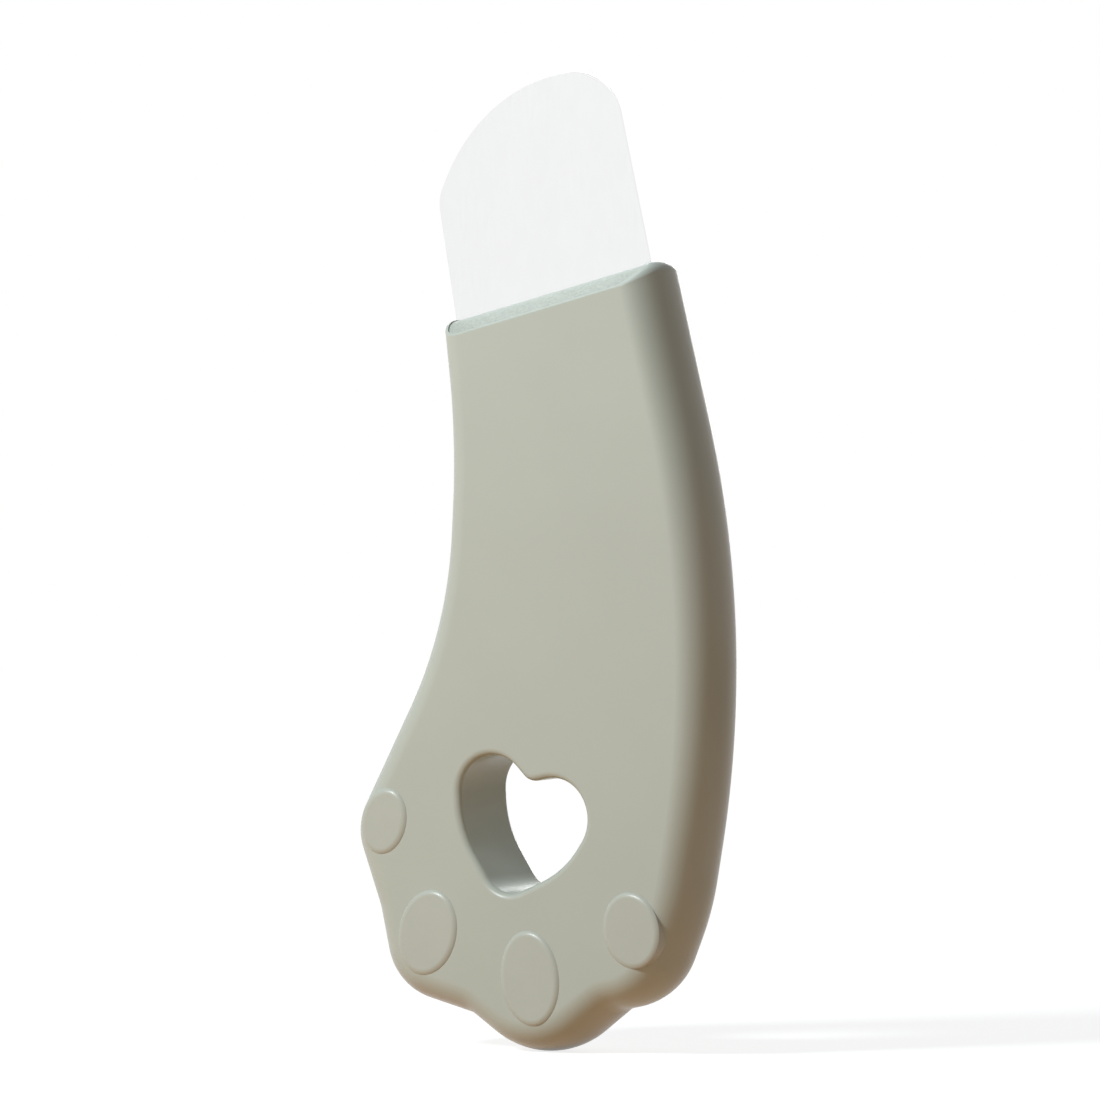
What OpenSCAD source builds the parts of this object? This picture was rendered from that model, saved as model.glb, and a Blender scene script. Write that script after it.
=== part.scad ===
// Ultrasonic blackhead extractor with a handle shaped like a bent paw.
// The front face looks along -Y, the blade points up along +Z.
// The origin lies under the middle of the outline, level with the lowest toe.
// Sizes are in millimetres.

/* [Handle] */
// Thickness of the handle, from the front face to the back face
body_t = 14; // [13.6:0.1:15]
// How far the rounding of the sides reaches in from the outline
side_round = 4.8; // [4.4:0.1:6]
// Wall of the two half shells
wall = 1.6; // [1.4:0.1:1.8]
// Thinner wall round the mouth, outside the soft end plug
rim_wall = 0.4; // [0.4:0.1:0.6]
// Extra wall on the right of the mouth, under its rounded corner
rim_extra = 1.6; // [1.2:0.1:1.8]
// Height of the middle of the mouth above the lowest toe
mouth_z = 115; // [112:0.5:117]
// Slope of the mouth across the handle, in degrees
mouth_slope = 16.4; // [14:0.2:18]
// Fall of the end face from its ridge to the front and back, in degrees
roof_fall = 22; // [16:1:26]
// Radius of the mouth's outer corner, on the right
corner_r = 2.4; // [2:0.1:2.8]
// Radius of the mouth's inner corner, on the left
corner_l = 1; // [0.6:0.1:1.6]

/* [Heart opening] */
// Width of the opening across its two lobes
heart_w = 23.2; // [22.4:0.2:24.4]
// Turn of the heart, in degrees
heart_turn = -16; // [-22:1:-10]
// Rounding of the opening's edges
heart_edge = 1.1; // [0.8:0.1:1.3]

/* [Toe pads] */
// How far the pads stand out of the front face
pad_proud = 0.4; // [0.4:0.1:0.8]
// Depth of the pockets that the pads sit in
pad_seat = 3.4; // [3:0.1:3.6]
// Depth of the rounding of the pads' edges
pad_edge = 0.35; // [0.2:0.05:0.4]
// How far the rounding of the pads' edges reaches in
pad_round = 0.9; // [0.6:0.1:1.1]

/* [Blade] */
// Width of the blade at the mouth
blade_w = 36.4; // [35.4:0.2:36.8]
// Length of the blade outside the mouth, along its axis
blade_len = 31.9; // [29:0.1:34]
// Thickness of the blade's sheet
blade_t = 0.4; // [0.3:0.05:0.6]
// Lean of the blade's axis to the left, in degrees
blade_lean = 12.2; // [11:0.2:13]
// Width of the blade's tang, inside the handle
tang_w = 20; // [18:0.5:21]
// Length of the tang below the middle of the mouth
tang_len = 27; // [26.6:0.1:29]

/* [Power button] */
// Length of the button along the handle
button_l = 11; // [10:0.5:13]
// Width of the button
button_w = 7; // [6:0.5:8]
// Travel of the button
button_travel = 0.4; // [0.2:0.05:0.5]
// How far the button lies below the back face
button_sunk = 0.2; // [0.1:0.05:0.4]

/* [Electrics] */
// Length of the battery along the handle
battery_l = 30; // [26:1:32]
// Width of the battery
battery_w = 20; // [18:1:22]
// Thickness of the battery
battery_t = 4; // [3.4:0.1:4.2]
// Length of the circuit board along the handle
board_l = 34; // [33:0.5:34]
// Width of the circuit board
board_w = 30; // [28:1:31]
// Thickness of the circuit board
board_t = 1; // [0.8:0.1:1.2]
// Diameter of the piezo discs
piezo_d = 10; // [9:0.2:10.4]
// Thickness of each piezo disc
piezo_t = 1; // [0.8:0.1:1.4]

/* [Fasteners] */
// Diameter of the shell screws' shanks
screw_d = 2; // [1.6:0.1:2.2]
// Diameter of the shell screws' heads
head_d = 3.6; // [3.2:0.1:3.8]
// Height of the shell screws' heads
head_h = 1.2; // [1:0.1:1.4]

/* [Hidden] */

// Fits
slip = 0.05;
gap = 0.1;
tiny = 0.02;
far = 80;

// Fineness: the most that a chord may stand off its arc
fine = 0.05;
coarse = 0.15;
$fn = 40;

// Each circle is [x, z, radius]; a radius below zero is a hollow between two lobes
half_t = body_t/2;
toe_left = [-23, 32.5, 9];
toe_low_left = [-17.4, 16.4, 9.6];
toe_bottom = [0.3, 14, 14];
toe_right = [13.8, 18.6, 11.6];
dip_1 = [-31.5, 19.8, -3.4];
dip_2 = [-13.4, 1.1, -4.3];
dip_3 = [15.9, 2.7, -4.4];
palm_side = [-14.3, 34.3, 43.6];
outer_flank = [-117.8, 58.7, 149.8];
top_right = [10.9, 124.5, 8.6];
top_left = [-10, 124.3, 8.6];
upper_bend = [-131.7, 88.4, -116.5];
wrist_bend = [-78, 81.3, -62.5];
paw = [toe_bottom, dip_3, toe_right, palm_side, outer_flank, top_right, top_left,
    upper_bend, wrist_bend, toe_left, dip_1, toe_low_left, dip_2];

heart_at = [-1.1, 34.7];
lobe = [5.6, 2.75, 6];
heart_grow = heart_w/2 - lobe.x - lobe.z;
heart_plan = [[0, -5.7, 5.1], [-3.6, 4.6, 15.3], lobe, [0, 9.5, -2.6],
    [-lobe.x, lobe.y, lobe.z], [3.6, 4.6, 15.3]];
heart = turned(grown(heart_plan, heart_grow), heart_turn, heart_at);

// Each pad is [x, z, half length, half width, lean to the right in degrees]
pads = [[-25, 34.1, 5.1, 3.9, 18], [-17.2, 17.6, 6.6, 5.1, 19],
    [1.2, 11.4, 7.2, 5.2, -7], [19.4, 19.4, 5.8, 5, -14]];
pad_points = 36;
pad_floor = pad_seat - half_t;
pad_back = 1.4;

mouth_x = 1;
plug_h = 6;
plug_sunk = 0.25;
plug_inset = 0.15;

tip_r = 7.8;
crown_r = 29.9;
shoulder_r = 6;
crown_u = 8.5;
blade_taper = 0.6;
blade_root = 3;
root_r = 1;

clamp_w = 24;
clamp_top = -7.5;
clamp_h = 8;
clamp_t = 3.4;
clamp_pad_t = 0.5;
clamp_pad_w = 19;
clamp_pad_h = 3;
clamp_hole_u = 7.5;
clamp_hole_v = clamp_top - clamp_h/2;
piezo_v = -21.4;

inner_y = half_t - wall;
board_back = inner_y - 4.1;
board_front = board_back - board_t;

// The board hangs a set gap below the foot of the tang, and carries the controls and the battery
tang_foot = [mouth_x + tang_len*sin(blade_lean), mouth_z - tang_len*cos(blade_lean)];
board_gap = 2.9;
board_shift = -2.2;
board_at = tang_foot + [board_shift, -board_gap - board_l/2];
battery_at = board_at + [2.1, -0.7];
tape_t = 0.4;

button_at = board_at + [0.5, -4.7];
seal_t = 0.5;
seal_rim = 1;
flange_t = 0.8;
flange_rim = 1.2;
button_top = half_t - button_sunk;
flange_top = inner_y - seal_t;
plunger_top = flange_top - flange_t;
plunger_d = 2.6;
switch_h = 1.6;
switch_side = 5.2;

guide_at = board_at + [0.5, 7.3];
guide_pitch = 3.4;
guide_pin_d = 1.6;
guide_bar = [9.4, 2.8, 1];
led = [1.6, 0.9, 0.6];

// Each chip is [x, z from the board's middle, width, length, height]
chips = [[-8, 1.3, 5, 5, 0.9], [9.5, -6.7, 4, 5, 1], [-8, -6.7, 3, 3, 0.8],
    [10, 9.3, 3, 1.6, 1], [10, 5.3, 3, 1.6, 1]];
coil_at = board_at + [9.5, 0.3];
coil_r = 3;
coil_h = 2.6;

socket_z = 81.3;
socket_x = -13.6;
socket = [6, 2.6, 7.6];
socket_wall = 0.3;
cover_h = 10.6;
cover_t = 3.9;
port_wall_x = -11.6;
cover_r = 0.94*half_t*half_t/side_round;

screw_at = [[-22.6, 33.4], [14.6, 19], [-7.5, 14.5], [22.6, 50], [19.4, 92.2], [-7.1, 90.1]];
boss_r = 2.6;
cap_t = 2;
screw_len = 6.5;
board_screw_at = [board_at + [-12.7, -14.7], board_at + [12.7, 14.9]];
board_screw_d = 1.4;
board_screw_len = 3.8;
board_head_d = 2.6;
board_head_h = 0.8;

lip_h = 1.2;
lip_t = 0.6;
lip_in = 0.2;
seal_h = 0.6;
wire_r = 0.4;
lead_side = 3;
lead_loop = 1.2;
lead_run = 4;

// Angle of the outward normal of the straight line that joins two circles
function normal_angle(a, b) =
    atan2(b.y - a.y, b.x - a.x) - acos((a.z - b.z)/norm([b.x - a.x, b.y - a.y]));

// An angle brought between -120 and 240 degrees
function wrapped(a) = a - 360*floor((a + 120)/360);

// Steps along an arc, so that no chord stands off it by more than the fineness
function arc_steps(sweep, r, fineness) =
    max(1, ceil(abs(sweep)/(2*acos(1 - fineness/max(abs(r), 4*fineness)))));

// A closed outline that runs tangent round the circles, drawn in by inset
function belt(c, inset = 0, fineness = fine) = [
    for (i = [0:len(c) - 1])
        let (a0 = normal_angle(c[(i + len(c) - 1)%len(c)], c[i]))
        let (sweep = wrapped(normal_angle(c[i], c[(i + 1)%len(c)]) - a0))
        let (n = arc_steps(sweep, c[i].z, fineness))
        for (j = [0:n])
            let (a = a0 + sweep*j/n)
            [c[i].x + (c[i].z - inset)*cos(a), c[i].y + (c[i].z - inset)*sin(a)]
];

// Circles with every radius grown, turned about the origin and moved
function grown(c, by) = [for (k = c) [k.x, k.y, k.z + by]];
function turned(c, a, at) = [
    for (k = c) [at.x + k.x*cos(a) - k.y*sin(a), at.y + k.x*sin(a) + k.y*cos(a), k.z]
];

// Points round an oval pad, drawn in by inset
function oval(p, inset) = [
    for (i = [0:pad_points - 1])
        let (a = 360*i/pad_points)
        let (u = (p[3] - inset)*cos(a), v = (p[2] - inset)*sin(a))
        [p.x + u*cos(p[4]) + v*sin(p[4]), p.y - u*sin(p[4]) + v*cos(p[4])]
];

// Rings [inset, y] of the rounded side, for a body drawn in by t
function side_rings(t, from, to, steps) = [
    for (i = [0:steps])
        let (a = from + (to - from)*i/steps)
        [t + (side_round - t)*(1 - cos(a)), (half_t - t)*sin(a)]
];

// Crossing point of two lines, each given by its normal and its offset
function crossing(n1, c1, n2, c2) =
    let (d = n1.x*n2.y - n1.y*n2.x)
    [(c1*n2.y - c2*n1.y)/d, (n1.x*c2 - n2.x*c1)/d];

// A solid through outlines that share their number of points, listed as [y, points]
module loft(rings) {
    n = len(rings[0][1]);
    points = [for (r = rings) for (p = r[1]) [p.x, r[0], p.y]];
    sides = [
        for (k = [0:len(rings) - 2])
            for (i = [0:n - 1])
                [k*n + i, k*n + (i + 1)%n, (k + 1)*n + (i + 1)%n, (k + 1)*n + i]
    ];
    first = [for (i = [n - 1:-1:0]) i];
    last = [for (i = [0:n - 1]) (len(rings) - 1)*n + i];
    polyhedron(points, concat([first], sides, [last]));
}

module swept(c, rings, fineness = fine)
    loft([for (r = rings) [r[1], belt(c, r[0], fineness)]]);

// A plan in the X-Z plane, given thickness from y0 to y1
module plate(y0, y1)
    translate([0, y1, 0]) rotate([90, 0, 0]) linear_extrude(y1 - y0) children();

// A round rod along Y
module rod(at, y0, y1, r)
    translate([at.x, y1, at.y]) rotate([90, 0, 0]) cylinder(h = y1 - y0, r = r);

// A block centred on at in the X-Z plane
module block(at, w, h, y0, y1)
    translate([at.x - w/2, y0, at.y - h/2]) cube([w, y1 - y0, h]);

// A long round-ended key along Z, centred on at
module key(at, w, l, y0, y1) {
    block(at, w, l - w, y0, y1);
    rod([at.x, at.y + (l - w)/2], y0, y1, w/2);
    rod([at.x, at.y - (l - w)/2], y0, y1, w/2);
}

// A thin lead through the listed points
module lead(points) {
    for (i = [0:len(points) - 2])
        let (d = points[i + 1] - points[i])
            translate(points[i])
                rotate([0, acos(d.z/norm(d)), atan2(d.y, d.x)])
                    cylinder(h = norm(d), r = wire_r, $fn = 16);
    for (i = [1:len(points) - 2])
        translate(points[i]) sphere(r = wire_r, $fn = 16);
}

// Frames at the middle of the mouth: along its slope, and along the blade
module in_mouth() translate([mouth_x, 0, mouth_z]) rotate([0, -mouth_slope, 0]) children();
module in_head() translate([mouth_x, 0, mouth_z]) rotate([0, -blade_lean, 0]) children();
// Everything above the end face on one side of the ridge, lowered by drop
module above_end(side, drop = 0)
    in_mouth() translate([0, 0, -drop]) rotate([-side*roof_fall, 0, 0])
        translate([-far, -far/2, 0]) cube([2*far, far, far]);

// Plan of the handle's end, with its two rounded corners
ridge_n = [-sin(mouth_slope), cos(mouth_slope)];
ridge_c = ridge_n.x*mouth_x + ridge_n.y*mouth_z;
right_a = normal_angle(outer_flank, top_right);
right_n = [cos(right_a), sin(right_a)];
right_c = right_n.x*outer_flank.x + right_n.y*outer_flank.y + outer_flank.z;
left_a = normal_angle(top_left, upper_bend);
left_n = [cos(left_a), sin(left_a)];
left_c = left_n.x*top_left.x + left_n.y*top_left.y + top_left.z;
corner_right = crossing(ridge_n, ridge_c - corner_r, right_n, right_c - corner_r);
corner_left = crossing(ridge_n, ridge_c - corner_l, left_n, left_c - corner_l);
left_drop = 12;
function arc(at, r, a0, a1) =
    let (n = arc_steps(a1 - a0, r, fine))
    [for (j = [0:n]) let (a = a0 + (a1 - a0)*j/n) [at.x + r*cos(a), at.y + r*sin(a)]];
function end_plan(inset) =
    let (r = arc(corner_right, corner_r - inset, right_a, 90 + mouth_slope))
    let (l = arc(corner_left, corner_l - inset, 90 + mouth_slope, left_a + 360))
    concat([r[0] + far*[right_n.y, -right_n.x]], r, l,
        [l[len(l) - 1] + left_drop*[-left_n.y, left_n.x], [-far, -far/2], [far, -far/2]]);
module end_trim(inset) plate(-far/4, far/4) polygon(end_plan(inset));

// Room for the end plug, drawn in by t: the flanks are straight this close to the mouth
room_top = 6;
function room_plan(inset) = [
    crossing(ridge_n, ridge_c + room_top, right_n, right_c - rim_extra - inset),
    crossing(ridge_n, ridge_c + room_top, left_n, left_c - inset),
    crossing(ridge_n, ridge_c - plug_h, left_n, left_c - inset),
    crossing(ridge_n, ridge_c - plug_h, right_n, right_c - rim_extra - inset)
];
module plug_room(t)
    loft([for (r = side_rings(t, -90, 90, 16)) [r[1], room_plan(r[0])]]);

// Cut shared by both shells
// Rounded in two chords, of which the outer one runs a little past the face
module heart_cut() {
    mid = heart_edge*(1 - cos(45));
    run = 1.2*(heart_edge - mid);
    swept(heart, [[-mid - run, -half_t + mid - 1.2*mid], [-mid, mid - half_t], [0, heart_edge - half_t],
        [0, half_t - heart_edge], [-mid, half_t - mid], [-mid - run, half_t - mid + 1.2*mid]]);
}

// Ring along the parting line, between two insets, open at the mouth
module joint_ring(from, to, y0, y1)
    difference() {
        union() {
            plate(y0, y1)
                difference() {
                    polygon(belt(paw, from));
                    polygon(belt(paw, to));
                }
            plate(y0, y1)
                difference() {
                    polygon(belt(heart, -to));
                    polygon(belt(heart, -from));
                }
        }
        in_mouth() translate([-far, -far/2, -plug_h - gap]) cube([2*far, far, far]);
    }

module clamp_rib(y0, y1)
    in_head() translate([-clamp_w/2 + 3, y0, clamp_top - clamp_h + 1])
        cube([clamp_w - 6, y1 - y0, clamp_h - 2]);

// Round-sided body drawn in by t, in front of the parting plane.
// Its rings run a little past both planes, which then cut it flat.
past = 0.9;
module half_round(t, steps, fineness)
    intersection() {
        r = side_rings(t, -90, 0, steps);
        over = past/(r[0][0] - r[1][0])*(r[1] - r[0]);
        swept(paw, concat([r[0] - over], [for (i = [1:steps]) r[i]], [[t, 1]]), fineness);
        translate([-far, t - half_t, -1]) cube([2*far, half_t - t + (t > 0 ? 2 : 0), 2*far]);
    }
module half_body()
    intersection() {
        half_round(0, 5, fine);
        end_trim(-tiny);
    }
module half_hollow() half_round(wall, 2, coarse);

module front_shell()
    color("#B8BBAE") difference() {
        half_body();
        front_hollow();
        above_end(-1);
        plug_room(rim_wall);
        heart_cut();
        joint_ring(wall - lip_in - lip_t - slip, wall + 0.4, -lip_h - seal_h, 1);
        for (p = pads) plate(-half_t - 1, pad_floor) polygon(oval(p, -slip));
        for (s = screw_at)
            rod(s, half_t - cap_t - head_h - screw_len - gap, 1, screw_d/2 + slip);
    }

// Everything above the floor of the plug's room, where the hollow ends
module plug_zone() in_mouth() translate([-far, -far/2, gap - plug_h]) cube([2*far, far, far]);

module front_hollow()
    difference() {
        half_hollow();
        plug_zone();
        plate(-half_t, 2) polygon(belt(heart, -wall));
        for (s = screw_at) rod(s, -half_t, 2, boss_r);
        for (p = pads) plate(-half_t, pad_floor + pad_back) polygon(oval(p, -pad_back));
        clamp_rib(-half_t, -blade_t/2 - clamp_pad_t - clamp_t);
        for (k = [-1, 1])
            block(battery_at + [0, k*(battery_l/2 + 1.4)], battery_w - 12, 1.2, -half_t, -2);
    }

module back_shell()
    color("#B8BBAE") union() {
        difference() {
            mirror([0, 1, 0]) half_body();
            back_hollow();
            above_end(1);
            plug_room(rim_wall);
            heart_cut();
            for (s = screw_at) {
                rod(s, -1, half_t - cap_t, screw_d/2 + slip);
                rod(s, half_t - cap_t - head_h, half_t + 1, head_d/2 + slip);
            }
            key(button_at, button_w + 2*gap, button_l + 2*gap, inner_y - 1, half_t + 1);
            for (i = [-1:1])
                rod(guide_at + [i*guide_pitch, 0], inner_y - 1, half_t + 1, guide_pin_d/2 + slip);
            socket_room();
            port_room(slip);
            for (s = board_screw_at)
                rod(s, board_back - 1, board_front + board_screw_len + 0.2, board_screw_d/2 + slip);
        }
        joint_ring(wall - lip_in - lip_t, wall - lip_in, -lip_h, 0.4);
    }

module back_hollow()
    difference() {
        mirror([0, 1, 0]) half_hollow();
        plug_zone();
        plate(-2, half_t) polygon(belt(heart, -wall));
        for (s = screw_at) rod(s, -2, half_t, boss_r);
        for (s = board_screw_at) rod(s, board_back, half_t, 2);
        translate([-far, -2, socket_z - cover_h/2 - 1])
            cube([far + port_wall_x, half_t + 2, cover_h + 2]);
        clamp_rib(blade_t/2 + clamp_pad_t + clamp_t, half_t);
    }

// Toe pads, each a plug with a rounded top edge
module toe_pad(p)
    color("#B4B6A8") loft(concat(
        [for (a = [90:-30:0])
            [pad_edge*(1 - sin(a)) - half_t - pad_proud, oval(p, pad_round*(1 - cos(a)))]],
        [[pad_floor, oval(p, 0)]]));
module toe_pad_1() toe_pad(pads[0]);
module toe_pad_2() toe_pad(pads[1]);
module toe_pad_3() toe_pad(pads[2]);
module toe_pad_4() toe_pad(pads[3]);

// Soft plug that closes the mouth round the blade
module end_plug()
    color("#C9D2C8") difference() {
        intersection() {
            plug_room(rim_wall + slip);
            end_trim(plug_inset);
        }
        above_end(-1, plug_sunk);
        above_end(1, plug_sunk);
        blade_slot();
    }

module blade_slot()
    in_head() plate(-blade_t/2 - slip, blade_t/2 + slip) {
        polygon(belt(blade_plan, -slip));
        translate([-tang_w/2 - slip, -tang_len]) square([tang_w + 2*slip, tang_len]);
    }

blade_side = blade_w/2;
tip = [blade_side - blade_taper - tip_r, blade_len - tip_r, tip_r];
crown = [crown_u, blade_len - crown_r, crown_r];
shoulder_u = -blade_side + blade_taper + shoulder_r;
shoulder_v = crown.y
    + sqrt(pow(crown_r - shoulder_r + slip, 2) - pow(shoulder_u - crown_u, 2));
blade_plan = [[blade_side - root_r, root_r - blade_root, root_r], tip, crown,
    [shoulder_u, shoulder_v, shoulder_r], [root_r - blade_side, root_r - blade_root, root_r]];

module blade()
    color("#D9DBDC") in_head() difference() {
        plate(-blade_t/2, blade_t/2) {
            polygon(belt(blade_plan));
            translate([-tang_w/2, -tang_len]) square([tang_w, tang_len]);
        }
        for (s = [-1, 1])
            rod([s*clamp_hole_u, clamp_hole_v], -1, 1, screw_d/2 + gap);
    }

// Clamp that holds the tang, with its soft pads and screws
clamp_near = blade_t/2 + clamp_pad_t;
clamp_far = clamp_near + clamp_t;
clamp_head_y = clamp_far - head_h;
module clamp_half(y0, y1) block([0, clamp_hole_v], clamp_w, clamp_h, y0, y1);
module clamp_bores(y0, y1, r)
    for (s = [-1, 1]) rod([s*clamp_hole_u, clamp_hole_v], y0, y1, r);

module blade_clamp_front()
    color("#3A3D3F") in_head() difference() {
        clamp_half(-clamp_far, -clamp_near);
        clamp_bores(0.6 - clamp_far, 0, screw_d/2 + slip);
    }

module blade_clamp_back()
    color("#3A3D3F") in_head() difference() {
        clamp_half(clamp_near, clamp_far);
        clamp_bores(0, half_t, screw_d/2 + slip);
        clamp_bores(clamp_head_y, half_t, head_d/2 + slip);
    }

module clamp_pads()
    color("#8B8F92") in_head() for (s = [0, 1]) mirror([0, s, 0])
        difference() {
            block([0, clamp_hole_v], clamp_pad_w, clamp_pad_h, blade_t/2, clamp_near);
            clamp_bores(0, 2, screw_d/2 + slip);
        }

module clamp_screws()
    color("#B9BCBF") in_head() {
        clamp_bores(clamp_head_y, clamp_far, head_d/2);
        clamp_bores(0.8 - clamp_far, clamp_head_y, screw_d/2);
    }

// Discs bonded to the tang, which make it vibrate
module piezo_disc_front()
    color("#C7B98A") in_head() rod([0, piezo_v], -blade_t/2 - piezo_t, -blade_t/2, piezo_d/2);
module piezo_disc_back()
    color("#C7B98A") in_head() rod([0, piezo_v], blade_t/2, blade_t/2 + piezo_t, piezo_d/2);

// Circuit board and what is soldered to it
module circuit_board()
    color("#2F6B4A") difference() {
        block(board_at, board_w, board_l, board_front, board_back);
        for (s = board_screw_at) rod(s, board_front - 1, board_back + 1, board_screw_d/2 + slip);
        for (s = screw_at) rod(s, board_front - 1, board_back + 1, boss_r + gap);
    }

module board_chips()
    color("#26282A") {
        for (c = chips)
            block(board_at + [c.x, c.y], c[2], c[3], board_back, board_back + c[4]);
    }

module drive_coil()
    color("#4A4C50") rod(coil_at, board_back, board_back + coil_h, coil_r);

module switch_case()
    color("#5C5F62") difference() {
        block(button_at, switch_side, switch_side, board_back, board_back + switch_h);
        rod(button_at, board_back + 0.4, half_t, plunger_d/2 + slip);
    }

module switch_plunger()
    color("#1E1F21")
        rod(button_at, board_back + 0.4 + button_travel + gap, plunger_top, plunger_d/2);

module status_leds()
    color("#F4F1DC") for (i = [-1:1])
        block(guide_at + [i*guide_pitch, 0], led.x, led.y, board_back, board_back + led.z);

module light_guide()
    color("#E9ECEA") {
        block(guide_at, guide_bar.x, guide_bar.y, inner_y - guide_bar.z, inner_y);
        for (i = [-1:1])
            rod(guide_at + [i*guide_pitch, 0], board_back + led.z + 2*gap, half_t, guide_pin_d/2);
    }

// Charging socket in the left side, and the soft cover that closes it
module socket_room()
    translate([-far, board_back - gap, socket_z - socket.z/2 - gap])
        cube([far + socket_x + socket.x + gap, socket.y + 2*gap, socket.z + 2*gap]);

module port_room(grow)
    translate([-far, board_back + socket.y/2, socket_z]) rotate([0, 90, 0])
        linear_extrude(far + socket_x) {
            square([cover_h - cover_t, cover_t + 2*grow], center = true);
            for (s = [-1, 1]) translate([s*(cover_h - cover_t)/2, 0]) circle(d = cover_t + 2*grow);
        }

module charge_socket()
    color("#C4C6C8") translate([socket_x, board_back, socket_z - socket.z/2])
        difference() {
            cube(socket);
            translate([-1, socket_wall, socket_wall])
                cube([socket.x, socket.y - 2*socket_wall, socket.z - 2*socket_wall]);
        }

module port_cover()
    color("#A9ADA0") {
        inset = socket_wall + gap;
        intersection() {
            port_room(0);
            translate([wrist_bend.x - wrist_bend.z + cover_r, 0, socket_z - cover_h])
                cylinder(h = 2*cover_h, r = cover_r - slip);
        }
        translate([socket_x - slip, board_back + inset, socket_z - socket.z/2 + inset])
            cube([3, socket.y - 2*inset, socket.z - 2*inset]);
    }

// Power button in the back face
module power_button()
    color("#AEB2A6") {
        key(button_at, button_w, button_l, flange_top - tiny, button_top);
        key(button_at, button_w + 2*flange_rim, button_l + 2*flange_rim, plunger_top, flange_top);
    }

module button_seal()
    color("#7F847D") difference() {
        key(button_at, button_w + 2*flange_rim, button_l + 2*flange_rim, flange_top, inner_y);
        key(button_at, button_w + 2*gap, button_l + 2*gap, flange_top - 1, inner_y + 1);
    }

// Battery between the board and the front shell
battery_back = tape_t + battery_t - inner_y;
module battery()
    color("#9AA3AB") block(battery_at, battery_w, battery_l, tape_t - inner_y, battery_back);
module battery_tape()
    color("#2B2C2E") block(battery_at, battery_w - 4, battery_l - 6, -inner_y, -inner_y + tape_t);

battery_mid = battery_back - battery_t/2;
battery_top = battery_at.y + battery_l/2;
module battery_leads()
    color("#B33A33") for (s = [0, 1])
        let (x = battery_at.x + 2*lead_side + 2*s, y = board_front - wire_r, top = battery_top)
            lead([[x, battery_mid, top], [x, battery_mid, top + 3], [x, y, top + 2.2], [x, y, top - 1]]);

module piezo_leads()
    color("#2D2F80") in_head() for (s = [-1, 1])
        let (u = lead_side*s, y = s*(blade_t/2 + piezo_t + wire_r), low = -tang_len - lead_loop)
        let (on_board = board_back + wire_r)
            lead([[u, y, piezo_v], [u, y, low], [u, on_board, low], [u, on_board, low - lead_run]]);

// Fasteners
module board_screws()
    color("#B9BCBF") for (s = board_screw_at) {
        rod(s, board_front - board_head_h, board_front, board_head_d/2);
        rod(s, board_front, board_front + board_screw_len, board_screw_d/2);
    }

module shell_screws()
    color("#B9BCBF") for (s = screw_at) {
        rod(s, half_t - cap_t - head_h, half_t - cap_t, head_d/2);
        rod(s, half_t - cap_t - head_h - screw_len, half_t - cap_t - head_h, screw_d/2);
    }

module screw_caps()
    color("#A9ADA0") for (s = screw_at) rod(s, half_t - cap_t, half_t - tiny, head_d/2);

module shell_seal()
    color("#6D726C") joint_ring(wall - lip_in - lip_t, wall - lip_in, -lip_h - seal_h, -lip_h);

front_shell();
back_shell();
toe_pad_1();
toe_pad_2();
toe_pad_3();
toe_pad_4();
end_plug();
blade();
blade_clamp_front();
blade_clamp_back();
clamp_pads();
clamp_screws();
piezo_disc_front();
piezo_disc_back();
circuit_board();
board_chips();
drive_coil();
switch_case();
switch_plunger();
status_leds();
light_guide();
charge_socket();
port_cover();
power_button();
button_seal();
battery();
battery_tape();
battery_leads();
piezo_leads();
board_screws();
shell_screws();
screw_caps();
shell_seal();
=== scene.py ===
"""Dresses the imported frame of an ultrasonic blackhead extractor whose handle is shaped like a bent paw.

The pieces are worked out in millimetres in the frame of the CAD model: X to the right, Y to the back
and Z up to the blade. Each one is a mesh of curved patches with its own exact normals.
"""

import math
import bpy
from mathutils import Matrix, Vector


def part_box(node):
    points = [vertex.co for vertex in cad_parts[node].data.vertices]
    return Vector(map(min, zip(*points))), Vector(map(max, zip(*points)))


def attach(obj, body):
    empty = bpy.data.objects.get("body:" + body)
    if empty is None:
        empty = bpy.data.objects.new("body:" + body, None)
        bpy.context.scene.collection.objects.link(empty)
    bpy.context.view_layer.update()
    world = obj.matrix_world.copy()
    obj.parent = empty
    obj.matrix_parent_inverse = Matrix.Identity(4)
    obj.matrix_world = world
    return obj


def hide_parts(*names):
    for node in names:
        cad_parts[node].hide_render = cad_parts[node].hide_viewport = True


bl_info = {
    "name": "Blackhead Extractor",
    "version": (1, 0, 0),
    "blender": (4, 5, 0),
    "location": "3D View > Sidebar > Extractor",
    "description": "Shells, pads, plug, blade and controls of a paw-shaped blackhead extractor",
    "category": "Object",
}

from collections import namedtuple

import bpy
import numpy as np
from mathutils import Vector
from mathutils.geometry import tessellate_polygon

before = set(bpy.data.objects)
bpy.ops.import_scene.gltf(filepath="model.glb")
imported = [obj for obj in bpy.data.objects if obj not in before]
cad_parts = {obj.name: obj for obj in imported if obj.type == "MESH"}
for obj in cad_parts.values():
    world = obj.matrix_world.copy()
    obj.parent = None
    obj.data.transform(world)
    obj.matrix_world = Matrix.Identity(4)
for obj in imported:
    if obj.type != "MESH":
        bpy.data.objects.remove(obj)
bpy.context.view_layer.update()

TAU = 2 * math.pi
QUARTER = math.pi / 2
HALF = round(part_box("back_shell")[1].y * 1000, 2)  # half of the handle's thickness
SIDE = 4.8  # how far the oval rounding of its sides reaches in from the outline

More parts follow.
